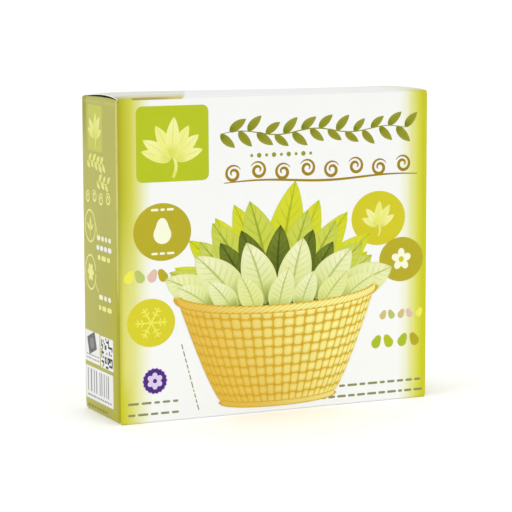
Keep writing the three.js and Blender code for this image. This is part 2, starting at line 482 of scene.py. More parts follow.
def addRows(mesh, rows, slots):  # slots is a material slot, or one for each step along a row
    made = [[mesh.verts.new(point) for point in row] for row in rows]
    for lower, upper in zip(made, made[1:]):
        for i in range(len(lower) - 1):
            face = mesh.faces.new((lower[i], lower[i + 1], upper[i + 1], upper[i]))
            face.material_index = slots if isinstance(slots, int) else slots[i]
            face.smooth = True


def addFlap(mesh, rows, foldSlot, slot):  # the rows of a flap begin with its fold
    addRows(mesh, rows[:len(flapAngles)], foldSlot)
    addRows(mesh, rows[len(flapAngles) - 1:], slot)


def lidRows(wallTop, lift):  # lid and tuck, from the top of the front panel
    edge = [foldPoint(-1, -1, 180, angle) for angle in foldAngles[4:-1]]
    edge += [panelPoint("front", u, 0) for u in stations(wallFold, width - wallFold, cellSize)]
    edge += [foldPoint(1, -1, 270, angle) for angle in foldAngles[1:3]]
    profiles = []
    for x, y, z in edge:
        flatFrom, flatTo = y + flapFold, lidBack - flapFold
        line = [(x, y, wallTop), (x, y, tallness - flapFold)]
        for angle in flapAngles[1:]:
            line.append((x, flatFrom - flapFold * cos(angle), tallness - flapFold * (1 - sin(angle))))
        for share in shares(carton["lidSteps"])[1:]:
            line.append((x, between(flatFrom, flatTo, share), tallness + lift(x, share)))
        for angle in flapAngles[1:]:
            line.append((x, flatTo + flapFold * sin(angle), tallness - flapFold * (1 - cos(angle))))
        for share in shares(4)[1:]:
            down = share * carton["tuckLength"]
            line.append((x * (1 - carton["tuckTaper"] * share ** 2), lidBack - carton["tuckLean"] * down,
                         tallness - flapFold - down))
        profiles.append([Vector(point) for point in line])
    return list(map(list, zip(*profiles)))


def dustRows(side, wallTop, follow):  # a dust flap, from the top of a side panel; side is -1 on the left
    level = tallness - thickness - carton["dustDrop"]
    edge = [panelPoint("left" if side < 0 else "right", u, 0).y
            for u in stations(wallFold, depth - wallFold, cellSize)]

    def row(x, narrowing, climb):
        points = []
        for y in (wallY * narrowing for wallY in edge):
            arch = follow * bulge("top", side * x + halfWidth, y + halfDepth)
            points.append(Vector((side * x, y, wallTop + (level + arch - wallTop) * climb)))
        return points

    rows = [row(halfWidth - flapFold * (1 - cos(angle)), 1, sin(angle)) for angle in flapAngles]
    for share in shares(5)[1:]:
        reach = flapFold + share * carton["dustFlap"]
        rows.append(row(halfWidth - reach, 1 - carton["dustTaper"] * share, 1))
    return rows


def upsideDown(rows):
    return [[Vector((p.x, p.y, tallness - p.z)) for p in row] for row in rows]


def crushCorner(mesh):  # the lower back corner on the left has been knocked
    corner = Vector((-halfWidth, halfDepth, 0))
    for vertex in mesh.verts:
        near = 1 - (vertex.co - corner).length / carton["crushReach"]
        if near > 0:
            vertex.co += carton["crush"] * near ** 2


def addObject(name, data):
    made = bpy.data.objects.new(name, data)
    scene.collection.objects.link(made)
    return made


def plainMesh(piece):  # what the modifiers make of a piece, as a mesh of its own
    shape = piece.evaluated_get(bpy.context.evaluated_depsgraph_get())
    return bpy.data.meshes.new_from_object(shape)


def thicken(piece, size):  # the thickness goes inwards
    made = piece.modifiers.new("thickness", "SOLIDIFY")
    made.thickness = size
    made.offset = -1
    return made


def buildBlank():
    mesh = bmesh.new()
    wallLow = thickness + flapFold
    wallTop = tallness - wallLow
    rows = [wallRow(z) for z in stations(wallLow, wallTop, cellSize)]
    addRows(mesh, [points for points, _ in rows], rows[0][1])
    backStart = carton["seamInset"] + carton["seamGap"]
    backTop = rows[-1][0][:len(stations(backStart, width - wallFold, cellSize))]
    backEdge = [backTop, [Vector((p.x, p.y, tallness - thickness / 2)) for p in backTop]]
    addFlap(mesh, lidRows(wallTop, liftAt), 0, 2)
    addFlap(mesh, upsideDown(lidRows(wallTop, lambda x, share: 0)), 0, 2)
    addRows(mesh, backEdge, 0)
    addRows(mesh, upsideDown(backEdge), 0)
    for side in (-1, 1):
        addFlap(mesh, dustRows(side, wallTop, carton["dustShare"]), 1, 3)
        addFlap(mesh, upsideDown(dustRows(side, wallTop, 0)), 1, 3)
    bmesh.ops.remove_doubles(mesh, verts=mesh.verts, dist=carton["weld"])
    bmesh.ops.recalc_face_normals(mesh, faces=mesh.faces)
    outward = next(f for f in mesh.faces if f.calc_center_median().y < -halfDepth and abs(f.normal.y) > 0.9)
    if outward.normal.y > 0:
        bmesh.ops.reverse_faces(mesh, faces=mesh.faces)
    crushCorner(mesh)
    data = bpy.data.meshes.new("boardSheet")
    mesh.to_mesh(data)
    mesh.free()
    blank = addObject("boardBlank", data)
    # the dust flaps' upper face is unprinted dark grey board, darker than the side's khaki, and so also
    # painted shade in the slit under the lid
    printed = [widePrint(), sidePrint(), lidPrint(), rawBoard("dustFlapShadeBoard", ink(120, 118, 96), 0.06)]
    inside = rawBoard("innerBoard", ink(112, 108, 92), 0.1)
    for material in (*printed, *[inside] * len(printed), rawBoard("rawEdge", ink(252, 251, 240), 0.08)):
        data.materials.append(material)
    thick = thicken(blank, thickness)
    thick.use_even_offset = True
    thick.material_offset = len(printed)
    thick.material_offset_rim = len(data.materials)
    blank.data = plainMesh(blank)
    blank.modifiers.clear()
    blank.data.name = "boardBlank"
    blank.data.set_sharp_from_angle(angle=radians(carton["sharpAngle"]))
    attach(blank, "root")
    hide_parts("carton")


buildBlank()
print("folded the board blank")

# Flat artwork, in millimetres on its panel. A layer covers those with lower numbers.
film = {
    "step": 0.01 * mm,  # each layer of ink stands this far over the one below
    "thickness": 0.013 * mm,
    "cell": 5.0,  # long edges are split this fine, so that the ink follows the panel
}
markNames = ("along", "across", "tone")
sheet = {}  # the artwork of the panel at hand, by its inks


def addArt(inkName, points, faces, marks=()):  # marks gives along, across and tone at each point
    art = sheet.setdefault(inkName, {"points": [], "faces": [], "marks": []})
    first = len(art["points"])
    art["points"] += points
    art["faces"] += [[first + i for i in face] for face in faces]
    art["marks"] += marks or [(0.5, 0.0, 0.5)] * len(points)


def splitEdges(outline):
    fine = []
    for (u, v), (nextU, nextV) in zip(outline, outline[1:] + outline[:1]):
        pieces = max(1, ceil(hypot(nextU - u, nextV - v) / film["cell"]))
        fine += [(between(u, nextU, share), between(v, nextV, share)) for share in shares(pieces)[:-1]]
    return fine


def addPatch(inkName, outline, layer=1):  # the outline runs anticlockwise
    outline = splitEdges(outline)
    count = len(outline)
    middleU, middleV = (sum(values) / count for values in zip(*outline))
    reach = max(hypot(u - middleU, v - middleV) for u, v in outline)
    rings = max(1, ceil(reach / film["cell"]))
    points, faces = [(middleU, middleV, layer)], []
    for share in shares(rings)[1:]:
        points += [(between(middleU, u, share), between(middleV, v, share), layer) for u, v in outline]
    for i in range(count):
        j = (i + 1) % count
        faces.append((0, 1 + i, 1 + j))
        for inner in range(1, 1 + (rings - 1) * count, count):
            faces.append((inner + i, inner + count + i, inner + count + j, inner + j))
    addArt(inkName, points, faces)


def addStroke(inkName, route, halfStroke, layer=1):  # halfStroke is a size or goes by the share
    points, marks, faces = [], [], []
    for i, (u, v) in enumerate(route):
        (u0, v0), (u1, v1) = route[max(i - 1, 0)], route[min(i + 1, len(route) - 1)]
        length = hypot(u1 - u0, v1 - v0) or 1
        share = i / (len(route) - 1)
        reach = halfStroke(share) if callable(halfStroke) else halfStroke
        for side in (-1, 1):
            across = side * reach / length
            points.append((u - across * (v1 - v0), v + across * (u1 - u0), layer))
            marks.append((share, side, 0.5))
    for i in range(0, len(points) - 2, 2):
        faces.append((i, i + 2, i + 3, i + 1))
    addArt(inkName, points, faces, marks)


def stepFrom(u, v, reach, angle):  # the place this far away in this direction
    return u + reach * cos(angle), v + reach * sin(angle)


def turned(x, y, angle):
    return x * cos(angle) - y * sin(angle), x * sin(angle) + y * cos(angle)


def fullTurn(count):
    return [2 * pi * i / count for i in range(count)]


def polar(u, v, radius, count=40, turn=0.0):  # radius goes by the angle
    return [stepFrom(u, v, radius(angle), angle + turn) for angle in fullTurn(count)]


def oval(u, v, halfU, halfV, count=44):
    return [(u + halfU * cos(angle), v + halfV * sin(angle)) for angle in fullTurn(count)]


def roundedBox(left, foot, right, head, radius, turn=0.0):
    middleU, middleV = (left + right) / 2, (foot + head) / 2
    outline = []
    for i, (sideU, sideV) in enumerate(((1, -1), (1, 1), (-1, 1), (-1, -1))):
        centre = sideU * ((right - left) / 2 - radius), sideV * ((head - foot) / 2 - radius)
        for angle in stations(90 * i - 90, 90 * i, 18):
            u, v = turned(*stepFrom(*centre, radius, radians(angle)), turn)
            outline.append((middleU + u, middleV + v))
    return outline


def tapered(thick, thin=0.12):  # a half width for addStroke()
    return lambda share: between(thin, thick, sin(pi * share) ** 0.7)


def layInks(panel):  # one piece for each ink on a panel
    for inkName, art in sheet.items():
        data = bpy.data.meshes.new(panel + inkName[0].upper() + inkName[1:])
        places = [panelPoint(panel, u * mm, v * mm, layer * film["step"]) for u, v, layer in art["points"]]
        data.from_pydata(places, [], art["faces"])
        for key, values in zip(markNames, zip(*art["marks"])):
            data.attributes.new(key, "FLOAT", "POINT").data.foreach_set("value", values)
        data.materials.append(inks[inkName])
        piece = addObject(data.name, data)
        thicken(piece, film["thickness"])
        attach(piece, "root")
    sheet.clear()


# Geometry Nodes trees. Their lengths are millimetres of artwork, and z is the layer of ink.
def startShape(name, **inputs):
    return startTree(name, "GeometryNodeTree", {"Geometry": None}, inputs)


def endShape(entry, geometry):
    whole = make("GeometryNodeRealizeInstances", inputs={"Geometry": geometry})
    inked = make("GeometryNodeSetMaterial", inputs={"Geometry": whole, "Material": entry.material})
    return endTree({"Geometry": inked})


def vectorOf(x=0.0, y=0.0, z=0.0):
    return make("ShaderNodeCombineXYZ", inputs={"X": x, "Y": y, "Z": z})


def store(geometry, name, value):
    return make("GeometryNodeStoreNamedAttribute", {"data_type": "FLOAT", "domain": "POINT"},
                {"Geometry": geometry, "Name": name, "Value": value})


def named(name):
    return make("GeometryNodeInputNamedAttribute", {"data_type": "FLOAT"}, {"Name": name})


def moved(geometry, place, socket="Position"):
    return make("GeometryNodeSetPosition", inputs={"Geometry": geometry, socket: place})


def drawn(entry, least, most, step=0):  # a random number for each point
    made = addNode("FunctionNodeRandomValue", {"data_type": "FLOAT"})
    values = {"Min": least, "Max": most, "Seed": entry.seed + step}
    for socket in made.inputs:
        if socket.enabled and socket.name in values:
            plug(socket, values[socket.name])
    return Term(next(socket for socket in made.outputs if socket.enabled))


def indexed():
    return make("GeometryNodeInputIndex")


def pointRow(count):
    return make("GeometryNodeMeshLine", {"mode": "OFFSET"}, {"Count": count})


def pointGrid(sizeX, sizeY, columns, rows):
    return make("GeometryNodeMeshGrid", inputs={
        "Size X": sizeX, "Size Y": sizeY, "Vertices X": columns, "Vertices Y": rows})


def spread(points, shape, turn=0.0, scale=(1.0, 1.0, 1.0)):
    return make("GeometryNodeInstanceOnPoints", inputs={
        "Points": points, "Instance": shape, "Rotation": vectorOf(0.0, 0.0, turn), "Scale": scale})


def unitGrid(columns, rows):  # it knows its places, with along from 0 to 1 and across from -1 to 1
    x, y, z = separate(make("GeometryNodeInputPosition"))
    grid = store(pointGrid(1.0, 1.0, columns, rows), "along", x + 0.5)
    return store(grid, "across", y * 2.0)


def addUp(value, group=0):  # what came before each point, and the sum of all
    made = addNode("GeometryNodeAccumulateField", {"data_type": "FLOAT"}, {"Value": value, "Group ID": group})
    return [Term(next(socket for socket in made.outputs if socket.enabled and socket.name == name))
            for name in ("Trailing", "Total")]


leafSizes = {"length": 40.0, "width": 14.0, "bend": 3.0}
rowInputs = {"seed": 1, "material": None}


def buildTeaLeaf():  # a pointed leaf that grows along +y
    entry = startShape("teaLeaf", **leafSizes)
    along, across = named("along"), named("across")
    tip = (1.0 - along).calc("MAXIMUM", 0.0) ** 0.85
    half = along ** 0.65 * tip * entry.width * 1.395
    leaf = moved(unitGrid(15, 5), vectorOf(across * half + along * along * entry.bend, along * entry.length))
    merged = make("GeometryNodeMergeByDistance", inputs={"Geometry": leaf, "Distance": 0.001})
    return endTree({"Geometry": merged})


def spreadLeaves(entry, points, turn, size, side):
    leaf = make("GeometryNodeGroup", {"node_tree": teaLeaf}, {key: getattr(entry, key) for key in leafSizes})
    points = store(points, "tone", drawn(entry, 0.0, 1.0))
    return endShape(entry, spread(points, leaf, turn, vectorOf(size * side.calc("SIGN"), size, 1.0)))


def buildLeafFan():  # leaves that spread from a row of feet, the middle ones on top
    entry = startShape("leafFan", count=7, **leafSizes, **rowInputs, spread=1.2, footReach=20.0, footSag=4.0,
                       jitter=0.12, stack=1.0, shrink=0.0)
    side = indexed() / (entry.count - 1.0) * 2.0 - 1.0
    off = abs(side)
    points = moved(pointRow(entry.count), vectorOf(
        side * entry.footReach, off * off * entry.footSag, (1.0 - off) * entry.count * 0.5 * entry.stack))
    turn = side * entry.spread * -1.0 + entry.jitter * drawn(entry, -1.0, 1.0, 1)
    size = drawn(entry, 0.92, 1.07, 2) * (1.0 - off * off * entry.shrink)
    return spreadLeaves(entry, points, turn, size, side + 0.01)


def buildGarland():  # leaves in turn to either side of a wavy stem along x
    entry = startShape("leafGarland", count=7, **leafSizes, **rowInputs, reach=100.0, wave=2.0, waves=2.0,
                       angle=0.8)
    index = indexed()
    share = index / (entry.count - 1.0)
    swing = (share * entry.waves * (2 * pi)).calc("SINE")
    side = index % 2.0 * 2.0 - 1.0
    points = moved(pointRow(entry.count), vectorOf(
        share * entry.reach, swing * entry.wave, index % 4.0 * 0.25))
    turn = side * (entry.angle + drawn(entry, -0.12, 0.12, 1)) - pi / 2
    return spreadLeaves(entry, points, turn, drawn(entry, 0.85, 1.1, 2), side)


def buildWeave():  # pads that turn by a right angle from each to the next, one unit apart
    entry = startShape("basketWeave", columns=21, rows=9, long=0.98, short=0.84, material=None)
    index = indexed()
    upright = ((index / entry.rows).calc("FLOOR") + index % entry.rows) % 2.0
    grid = pointGrid(entry.columns - 1.0, entry.rows - 1.0, entry.columns, entry.rows)
    along, across = named("along"), named("across")
    plump = 1.0 - abs(along * 2.0 - 1.0) ** 4.0 * 0.45
    pad = moved(unitGrid(7, 5), vectorOf((along - 0.5) * entry.long, across * 0.5 * plump * entry.short))
    return endShape(entry, spread(store(grid, "tone", upright), pad, upright * (pi / 2)))


def buildTwine():  # slanted turns of a rope along x, from -0.5 to 0.5
    entry = startShape("ropeTwine", turns=40, fatness=1.5, slant=1.6, material=None)
    index = indexed()
    points = moved(pointRow(entry.turns), vectorOf(
        index / (entry.turns - 1.0) - 0.5, 0.0, index % 2.0 * 0.4))
    along, across = named("along"), named("across")
    end = along * 2.0 - 1.0
    rounded = (1.02 - end * end).calc("MAXIMUM", 0.0).calc("SQRT")
    lean = across * rounded + (along - 0.5) * entry.slant * 2.0
    strand = moved(unitGrid(7, 5), vectorOf(lean * 0.62 / entry.turns, (along - 0.5) * entry.fatness))
    return endShape(entry, spread(points, strand))


def buildDashes():  # rows of rounded dashes of random lengths
    entry = startShape("dashRows", rows=2, dashes=6, reach=30.0, shortest=2.4, longest=6.0, gap=1.3,
                       pitch=4.0, thickness=1.2, **rowInputs)
    row = (indexed() / entry.dashes).calc("FLOOR")
    half, thick = named("half"), entry.thickness * 0.5
    points = store(pointRow(entry.rows * entry.dashes), "half",
                   drawn(entry, entry.shortest, entry.longest) * 0.5)
    before, total = addUp(half * 2.0 + entry.gap, row)
    fit = (entry.reach + entry.gap) / total
    points = moved(points, vectorOf((before + half) * fit, row * entry.pitch * -1.0))
    points = store(points, "half", half * fit)
    ring = make("GeometryNodeMeshCircle", {"fill_type": "NGON"}, {"Vertices": 12, "Radius": thick})
    x, y, z = separate(make("GeometryNodeInputPosition"))
    ring = store(ring, "side", x.calc("SIGN"))
    dashes = make("GeometryNodeRealizeInstances", inputs={"Geometry": spread(points, ring, pi / 12)})
    return endShape(entry, moved(dashes, vectorOf(named("side") * (half - thick)), "Offset"))


def buildBars():  # upright bars of random widths
    entry = startShape("barRow", bars=30, reach=30.0, thinnest=0.3, thickest=1.2, spacing=2.6, height=12.0,
                       **rowInputs)
    wide = named("wide")
    points = store(pointRow(entry.bars), "wide", drawn(entry, entry.thinnest, entry.thickest))
    before, total = addUp(wide + drawn(entry, entry.thinnest, entry.thickest, 1) * entry.spacing)
    fit = entry.reach / total
    points = moved(points, vectorOf((before + wide * 0.5) * fit))
    points = store(points, "wide", wide * fit)
    return endShape(entry, spread(points, unitGrid(2, 4), scale=vectorOf(wide, entry.height, 1.0)))


def buildSquares():  # a random pattern of small squares
    entry = startShape("squareScatter", cells=17, pitch=0.8, filled=0.5, **rowInputs)
    size = (entry.cells - 1.0) * entry.pitch
    kept = make("GeometryNodeDeleteGeometry", {"domain": "POINT"}, {
        "Geometry": pointGrid(size, size, entry.cells, entry.cells),
        "Selection": drawn(entry, 0.0, 1.0).calc("GREATER_THAN", entry.filled)})
    side = entry.pitch * 0.98
    return endShape(entry, spread(kept, unitGrid(2, 2), scale=vectorOf(side, side, 1.0)))


teaLeaf = buildTeaLeaf()
trees = {"fan": buildLeafFan(), "garland": buildGarland(), "weave": buildWeave(), "twine": buildTwine(),
         "dashes": buildDashes(), "bars": buildBars(), "squares": buildSquares()}


def grow(kind, material, values):  # the plain mesh that a tree makes
    tree = trees[kind]
    holder = addObject(tree.name, bpy.data.meshes.new(tree.name))
    grower = holder.modifiers.new(tree.name, "NODES")
    grower.node_group = tree
    wanted = values | {"material": material}
    for item in tree.interface.items_tree:
        if item.in_out == "INPUT" and item.name in wanted:
            value = wanted[item.name]
            grower[item.identifier] = float(value) if item.socket_type == "NodeSocketFloat" else value
    mesh = plainMesh(holder)
    bpy.data.objects.remove(holder)
    return mesh


def plant(kind, inkName, place=(0, 0), layer=0, warp=None, **values):  # adds what a tree makes to the sheet
    mesh = grow(kind, inks[inkName], values)
    points, faces = [], []
    for vertex in mesh.vertices:
        x, y, z = vertex.co
        u, v = warp(x, y) if warp else (x, y)
        points.append((place[0] + u, place[1] + v, z + layer))
    for polygon in mesh.polygons:
        corners = list(polygon.vertices)
        ring = [points[i] for i in corners]
        area = sum(a[0] * b[1] - b[0] * a[1] for a, b in zip(ring, ring[1:] + ring[:1]))
        faces.append(corners if area > 0 else corners[::-1])
    marks = [[0.5] * len(points) for _ in markNames]
    for held, key in zip(marks, markNames):
        if key in mesh.attributes:
            mesh.attributes[key].data.foreach_get("value", held)
    addArt(inkName, points, faces, list(zip(*marks)))
    bpy.data.meshes.remove(mesh)


# Inks whose colour goes by the marks that each point of the artwork carries
def marked(name):
    return make("ShaderNodeAttribute", {"attribute_name": name}, output="Fac")


def buildLeafMarks():  # the rib, the side veins and the rim of a leaf
    startTree("leafMarks", "ShaderNodeTree", {"rib": 0.0, "veins": 0.0, "rim": 0.0}, {})
    along, across = marked("along"), abs(marked("across"))
    wave = ((across * -0.16 + along) * 62.0).calc("SINE")
    return endTree({
        "rib": (across / (along * 0.07 + 0.05)).ease(1.0, 0.55),
        "veins": wave.ease(0.55, 0.98) * across.ease(0.95, 0.5),
        "rim": across.ease(0.72, 1.0)})


leafMarks = buildLeafMarks()


def leafInk(name, foot, deep, body, pale, other):
    startFinish(name)
    marks = useGroup(leafMarks)
    colour = rampOf(marked("along"), [(0.0, foot), (0.18, deep), (0.36, body), (0.85, pale), (1.0, body)])
    halfSide = marked("across").ease(-0.05, 0.05)
    for share, tint in ((marked("tone") * 0.75, other), (marks.rim * 0.6, body), (marks.veins * 0.3, deep),
                        (marks.rib * 0.75, deep), (halfSide * 0.22, body)):
        colour = mixColour(share, colour, tint)
    return endPrint(colour, 0.05)


def strawInk(name, deep, body, pale, other, warm):  # rounded strips, warmer towards the left
    startFinish(name)
    along = abs(marked("along") * 2.0 - 1.0)
    away = (along ** 2.2).calc("MAXIMUM", abs(marked("across")) ** 1.6)
    colour = rampOf(away, [(0.0, pale), (0.45, body), (1.0, deep)])
    colour = mixColour(marked("tone") * 0.5, colour, other)
    x, y, z = separate(objectPlace())
    colour = mixColour((z * 0.6 + x).ease(-35 * mm, 60 * mm, 0.85, 0.0), colour, warm)
    return endPrint(colour, 0.12)


def plainInk(name, tint):
    startFinish(name)
    return endPrint(tint, 0.06)


inks = {name: leafInk(name, *(ink(*tint) for tint in tints)) for name, *tints in (
    ("paleLeaf", (104, 115, 40), (166, 180, 84), (224, 231, 156), (245, 247, 204), (232, 236, 144)),
    ("freshLeaf", (70, 82, 16), (134, 152, 36), (190, 202, 78), (212, 220, 112), (202, 211, 62)),
    ("limeLeaf", (104, 118, 10), (158, 170, 18), (205, 211, 38), (222, 225, 66), (211, 215, 36)),
    ("shadeLeaf", (22, 28, 6), (50, 60, 12), (86, 100, 28), (124, 140, 48), (94, 108, 28)),
    ("oliveLeaf", (118, 124, 20), (118, 124, 20), (144, 148, 42), (160, 162, 58), (150, 148, 40)),
    ("creamLeaf", (218, 220, 96), (218, 220, 96), (241, 241, 148), (248, 247, 178), (236, 236, 112)))}
inks["straw"] = strawInk("straw", *(ink(*tint) for tint in (
    (226, 198, 76), (247, 236, 130), (252, 248, 184), (249, 240, 140), (226, 176, 40))))
inks |= {name: plainInk(name, ink(*tint)) for name, tint in {
    "strawShade": (214, 172, 58), "mouthShade": (92, 98, 22), "tileLime": (184, 198, 38),
    "goldDisc": (186, 174, 44), "yellowDisc": (220, 211, 52), "limeDisc": (212, 204, 44),
    "violet": (86, 50, 134), "lilac": (226, 212, 240), "cream": (250, 250, 222), "lemon": (241, 238, 92),
    "paleYellow": (246, 246, 150), "brownGold": (160, 132, 30), "olive": (150, 152, 52),
    "greyOlive": (146, 148, 104), "springGreen": (176, 194, 48), "sage": (190, 202, 112),
    "sand": (214, 196, 130), "blush": (228, 194, 178), "labelWhite": (249, 249, 246),
    "labelGrey": (146, 146, 152), "labelMid": (112, 112, 107), "labelDark": (64, 64, 60),
    "footOlive": (150, 146, 60), "sideLime": (204, 208, 92)}.items()}

# The front panel
basket = {
    "centre": 84,
    "half": (31, 54),  # half its width, at the foot and at the rim
    "height": (7.5, 60),
    "sag": (3.5, 8.5),
    "columns": 27,
    "rows": 10,
    "layer": 18,
}
fanKeys = ("count", "length", "width", "footReach", "footSag", "seed", "spread", "shrink")
fans = [  # ink, layer and height of the feet, then the sizes named above
    ("limeLeaf", 3, 60, 9, 52, 19, 24, -2, 5, 0.96, 0.34),
    ("freshLeaf", 6, 58, 8, 46, 20, 27, -2, 11, 0.92, 0.26),
    ("shadeLeaf", 9, 58, 5, 35, 15, 16, 0, 23, 0.46, 0.12),
    ("paleLeaf", 12, 54, 6, 34, 19, 34, 2, 31, 0.95, 0.1),
    ("paleLeaf", 14, 49, 7, 22, 13, 36, 5, 43, 0.8, 0.1),
]


def basketPoint(side, level, rise=0):  # side runs from -1 to 1 round the front, level from foot to rim
    half = between(*basket["half"], max(level, 0) ** 0.8)
    angle = min(max(side, -1), 1) * pi / 2
    return (basket["centre"] + half * sin(angle),
            between(*basket["height"], level) - between(*basket["sag"], level) * cos(angle) + rise)


def drawBasket():
    centre, layer = basket["centre"], basket["layer"]
    half, rim, sag = (basket[key][1] for key in ("half", "height", "sag"))
    addPatch("mouthShade", oval(centre, rim, half - 0.5, sag - 0.4))
    backRim = [(centre + half * cos(a), rim - 0.4 + sag * sin(a))
               for a in stations(1.08 * pi, -0.08 * pi, pi / 40)]
    addStroke("strawShade", backRim, 1.8, 1.5)
    addStroke("straw", backRim, 1.3, 2)
    for inkName, level, foot, *sizes in fans:
        plant("fan", inkName, (centre, foot), level, bend=4, **dict(zip(fanKeys, sizes)))
    levels, sides = shares(10), stations(-1, 1, 1 / 18)
    count = len(sides)
    points = [(*basketPoint(side, level), layer) for level in levels for side in sides]
    corners = [row * count + i for row in range(len(levels) - 1) for i in range(count - 1)]
    addArt("strawShade", points, [(a, a + 1, a + 1 + count, a + count) for a in corners])
    columns, rows = basket["columns"], basket["rows"]
    plant("weave", "straw", layer=layer + 1, columns=columns, rows=rows,
          warp=lambda x, y: basketPoint(2 * x / columns, 0.5 + y / rows))
    for level, fatness in ((0, 2.6), (1, 3.8)):
        addStroke("strawShade", [basketPoint(side, level) for side in sides], 0.56 * fatness, layer + 2)
        plant("twine", "straw", layer=layer + 3, turns=46, fatness=fatness,
              warp=lambda x, y: basketPoint(2 * x, level, y))


def drawGarland(inkName, start, reach, count, length, wide, wave=1.2, waves=2.5, layer=2, seed=3):
    plant("garland", inkName, start, layer, count=count, length=length, width=wide, bend=0.12 * length,
          seed=seed, reach=reach, wave=wave, waves=waves, angle=0.85)
    stem = [(start[0] + share * reach, start[1] + wave * sin(2 * pi * waves * share))
            for share in shares(60)]
    addStroke(inkName, stem, tapered(0.07 * wide, 0.15), layer + 1)


def drawSprig(inkName, u, v, tall, count, spreadAngle=1.15, layer=2, seed=4):  # a fan on a stalk
    plant("fan", inkName, (u, v + 0.3 * tall), layer, count=count, length=0.62 * tall, width=0.23 * tall,
          bend=0.06 * tall, seed=seed, spread=spreadAngle, footReach=0.05 * tall, footSag=-0.04 * tall,
          stack=0.5, shrink=0.2)
    stalk = [(u + 0.05 * tall * sin(3 * t), v + 0.34 * tall * t) for t in shares(10)]
    addStroke(inkName, stalk, 0.025 * tall, layer)


def drawCurls(inkName, start, pitch, count, size, thick):  # spirals with long tails
    for i in range(count):
        hand = -1 if i % 2 else 1
        route = []
        for share in shares(44):
            x, y = stepFrom(0, 0, size * between(0.16, 1, (1 - share) ** 0.8), pi * (0.15 + 3.1 * share))
            route.append((start[0] + pitch * i + hand * x, start[1] + 0.3 * size * (i % 2) + y))
        addStroke(inkName, route, tapered(thick))


def drawSnowflake(inkName, u, v, size, thick, layer=3):
    for arm in stations(0, 5 * pi / 3, pi / 3):
        addStroke(inkName, [(u, v), stepFrom(u, v, size, arm)], thick, layer)
        for share in (0.5, 0.76):
            base = stepFrom(u, v, share * size, arm)
            for lean in (arm - pi / 3, arm + pi / 3):
                addStroke(inkName, [base, stepFrom(*base, 0.26 * size, lean)], 0.8 * thick, layer)
        layer += 0.1


def drawDashes(inkName, start, reach, dashes, thick, seed, rows=1, pitch=4, layer=1, turn=0.0):
    plant("dashes", inkName, start, layer, lambda x, y: turned(x, y, turn), rows=rows, dashes=dashes,
          reach=reach, pitch=pitch, thickness=thick, seed=seed)


def drawBeads(colours, start, end, v, size):  # fat drops that lean to either side by turns
    pitch = (end - start) / len(colours)
    for i, inkName in enumerate(colours):
        lean = 0.5 if i % 2 else -0.5
        addPatch(inkName, polar(start + pitch * (i + 0.5), v,
                                lambda a: size * (0.62 + 0.5 * max(cos(a), 0) ** 5), 32, pi / 2 + lean))


def drawFlower(petalInk, heartInk, u, v, size, count=5, layer=2):
    for i in range(count):
        angle = 2 * pi * i / count + pi / 2
        petal = [turned(0.56 + 0.44 * x, 0.34 * y, angle) for x, y in oval(0, 0, 1, 1, 20)]
        addPatch(petalInk, [(u + size * x, v + size * y) for x, y in petal], layer + 0.1 * i)
    addPatch(heartInk, oval(u, v, 0.26 * size, 0.26 * size, 20), layer + 1)


def drawHeading():  # the lime tile, the long garland and the curls below it
    addPatch("tileLime", roundedBox(9.5, 116.9, 47.2, 153.4, 3.2))
    drawSprig("creamLeaf", 28.5, 118.8, 31, 7)
    drawGarland("oliveLeaf", (53.5, 138.8), 101.5, 22, 10.2, 4.3, layer=1, seed=8)
    drawCurls("brownGold", (60, 119.2), 13.4, 8, 4.4, 0.82)
    swell = [(55 + 107 * s, 114.9 + 0.8 * sin(9 * s)) for s in shares(50)]
    addStroke("brownGold", swell, tapered(0.6, 0.2), 2)
    for i in range(9):
        size = 1.2 if i % 2 else 0.8
        addPatch("olive", oval(70 + 4 * i, 127.8, size, size, 16))


def drawFront():
    drawHeading()
    drawBasket()
    addPatch("goldDisc", oval(22.6, 92.8, 15, 14))
    addPatch("cream", polar(22.6, 91.6, lambda a: 4.6 * (1 + 0.75 * max(sin(a), 0) ** 7)), 2)
    for side in (-1, 1):
        drawDashes("cream", (16.8, 93 + side * 10.6), 11.6, 3, 1.2, 12 + side, layer=2)
    drawBeads(["lemon", "sage", "blush", "goldDisc"], 2, 26, 71, 3.9)
    addPatch("yellowDisc", oval(16.4, 49, 12.5, 11.8))
    drawSnowflake("lemon", 16.4, 49, 8.2, 0.42)
    for inkName, reach, layer in (("lilac", 6.5, 1), ("violet", 6.1, 2)):
        addPatch(inkName, polar(18.1, 20.4, lambda a: reach + 0.22 * cos(18 * a), 144), layer)
    drawFlower("lilac", "violet", 18.1, 20.4, 4.2, 6, 3)
    for row in (((4, 9.8), 26.4, 5, 1.2, 21), ((4, 4.3), 26.6, 5, 1.2, 22), ((118, 9.6), 46.7, 9, 1.3, 23),
                ((108, 4.3), 57.6, 11, 1.3, 24)):
        drawDashes("greyOlive", *row)
    drawDashes("greyOlive", (32.2, 37.5), 34, 11, 0.6, 25, turn=radians(-75))
    addPatch("limeDisc", oval(139.9, 93.6, 15.3, 13.7))
    drawSprig("creamLeaf", 139.9, 84.4, 19, 5, 0.95, 2, 9)
    addPatch("goldDisc", oval(153.1, 72, 12.6, 11.3), 5)
    drawFlower("cream", "limeDisc", 153.1, 72, 5.7, 5, 6)
    drawBeads(["sand", "sage", "sand", "blush", "lemon"], 140, 166, 43.6, 2.9)
    drawBeads(["springGreen", "tileLime", "springGreen", "goldDisc"], 135, 165, 29.8, 4.1)
    layInks("front")


